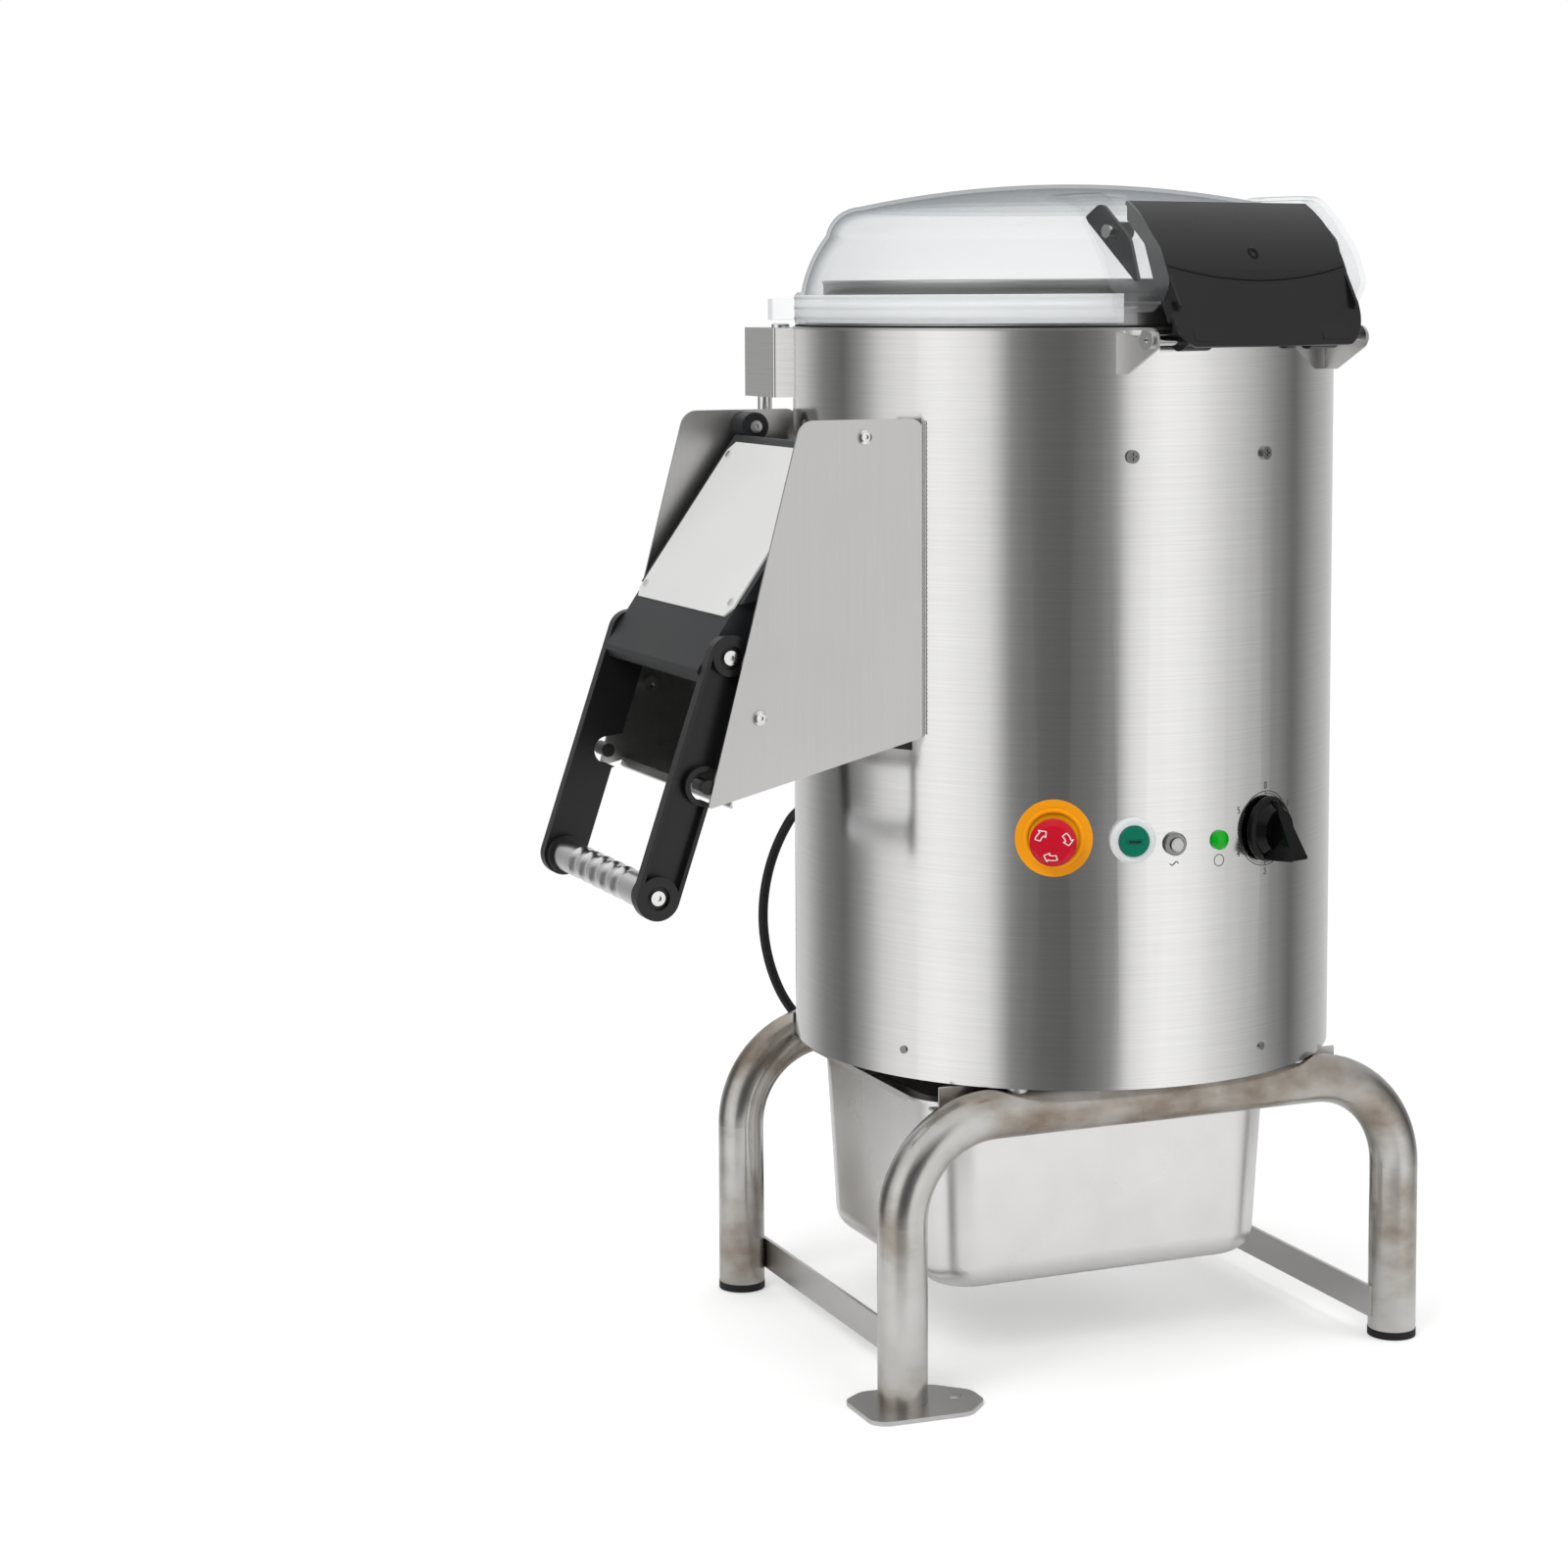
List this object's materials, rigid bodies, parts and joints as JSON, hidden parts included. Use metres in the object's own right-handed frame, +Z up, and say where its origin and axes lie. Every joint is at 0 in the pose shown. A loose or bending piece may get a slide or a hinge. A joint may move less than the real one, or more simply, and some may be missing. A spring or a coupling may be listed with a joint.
{
  "type": "electric potato peeler",
  "caption": "Drum potato peeler on a bent tube stand, with a clear hinged lid, a lever chute door, push controls with a timer knob, and a waste pan that slides out below.",
  "frame": {"origin": "centre of the bottom of the bounding box, on the floor under the stand, the lead left out", "axes": "+Z up; +X to the right along the front tube, away from the chute; +Y to the back, away from the controls"},
  "size_m": [0.6606, 0.6097, 0.918],
  "materials": {
    "steel": "brushed",
    "sheet": "rolled",
    "bright": "polished",
    "pan": "polished",
    "black": "fine grain",
    "black_gloss": "gloss",
    "rubber": "matt",
    "clear": "clear",
    "abrasive": "rough grit",
    "red": "gloss",
    "yellow": "matt",
    "green": "gloss",
    "white": "satin",
    "grey": "satin",
    "alu": "turned",
    "iron": "painted",
    "lens": "clear",
    "lead": "satin"
  },
  "bodies": {
    "machine": {"front_leg_tube": "steel", "rear_leg_tube": "steel", "tie_bars": "sheet", "foot_plates": "sheet", "rubber_feet": "rubber", "pan_runners": "sheet", "body_spacers": "sheet", "body_shell": "steel", "base_plate": "sheet", "top_rim_ring": "steel", "lid_gasket": "rubber", "drum_wall": "steel", "drum_lining": "abrasive", "drum_floor": "steel", "bearing_housing": "iron", "shaft_bearings": "bright", "shaft_seal": "rubber", "drive_belt": "rubber", "motor": "iron", "water_inlet": "bright", "chute_plate_front": "steel", "chute_plate_rear": "steel", "chute_floor": "steel", "chute_strikers": "bright", "chute_screws": "bright", "switch_box": "steel", "hinge_brackets": "sheet", "hinge_rod": "bright", "panel_screws": "bright", "estop_plate": "yellow", "contact_blocks": "black", "start_bezel": "white", "breaker_collar": "black", "lamp_lens": "lens", "timer_body": "black", "cord_gland": "black", "power_cord": "lead", "cord_coil": "lead", "cord_plug": "lead"},
    "lid": {"lid_dome": "clear", "lid_hinge_cover": "black", "lid_cover_screws": "bright"},
    "door": {"door_shell": "black", "door_face_plate": "white", "door_screws": "bright"},
    "lever": {"lever_arm_front": "black", "lever_arm_rear": "black", "grip_tube": "alu", "grip_bolt": "bright"},
    "disc": {"disc_shaft": "bright", "disc_pulley": "iron", "peeling_disc": "abrasive"},
    "motor_rotor": {"motor_pulley": "iron"},
    "stop_plunger": {"estop_stem": "grey"},
    "stop_head": {"estop_head": "red"},
    "start_key": {"start_button": "green"},
    "reset_key": {"breaker_button": "grey"},
    "timer": {"timer_knob": "black_gloss"},
    "pan": {"waste_pan": "pan"},
    "interlock": {"interlock_rod": "black"}
  },
  "joints": [
    {"name": "lid_hinge", "type": "hinge", "parent": "machine", "child": "lid", "pos_m": [0.12892, -0.20417, 0.798], "axis": [0.9703, 0.2419, 0], "range_deg": [0, 85]},
    {"name": "door_hinge", "type": "hinge", "parent": "machine", "child": "door", "pos_m": [-0.1507, 0.00929, 0.727], "axis": [0, 1, 0], "range_deg": [0, 70]},
    {"name": "lever_pivot", "type": "hinge", "parent": "door", "child": "lever", "pos_m": [-0.2543, 0.00929, 0.566], "axis": [0, 1, 0], "range_deg": [0, 35]},
    {"name": "disc_spin", "type": "hinge", "parent": "machine", "child": "disc", "pos_m": [0.0757, 0.00929, 0.474], "axis": [0, 0, 1], "continuous": true},
    {"name": "motor_spin", "type": "hinge", "parent": "machine", "child": "motor_rotor", "pos_m": [0.2037, 0.00929, 0.326], "axis": [0, 0, 1], "continuous": true},
    {"name": "stop_push", "type": "slide", "parent": "machine", "child": "stop_plunger", "axis": [0.4787, 0.878, 0], "range_m": [0, 0.004]},
    {"name": "stop_twist", "type": "hinge", "parent": "stop_plunger", "child": "stop_head", "pos_m": [-0.03679, -0.19703, 0.428], "axis": [0.4787, 0.878, 0], "range_deg": [0, 40]},
    {"name": "start_push", "type": "slide", "parent": "machine", "child": "start_key", "axis": [0.225, 0.9744, 0], "range_m": [0, 0.003], "stiffness_N_per_m": 400, "springref_m": -0.001},
    {"name": "reset_push", "type": "slide", "parent": "machine", "child": "reset_key", "axis": [0.0698, 0.9976, 0], "range_m": [0, 0.002], "stiffness_N_per_m": 500, "springref_m": -0.001},
    {"name": "timer_turn", "type": "hinge", "parent": "machine", "child": "timer", "pos_m": [0.1457, -0.19399, 0.426], "axis": [-0.3256, 0.9455, 0], "range_deg": [0, 300]},
    {"name": "pan_slide", "type": "slide", "parent": "machine", "child": "pan", "axis": [-1, 0, 0], "range_m": [0, 0.24]},
    {"name": "interlock_push", "type": "slide", "parent": "machine", "child": "interlock", "axis": [0, 0, 1], "range_m": [0, 0.004], "stiffness_N_per_m": 600, "springref_m": -0.001}
  ],
  "couplings": [
    {"joint": "motor_spin", "follows": "disc_spin", "ratio": 3.6946}
  ]
}
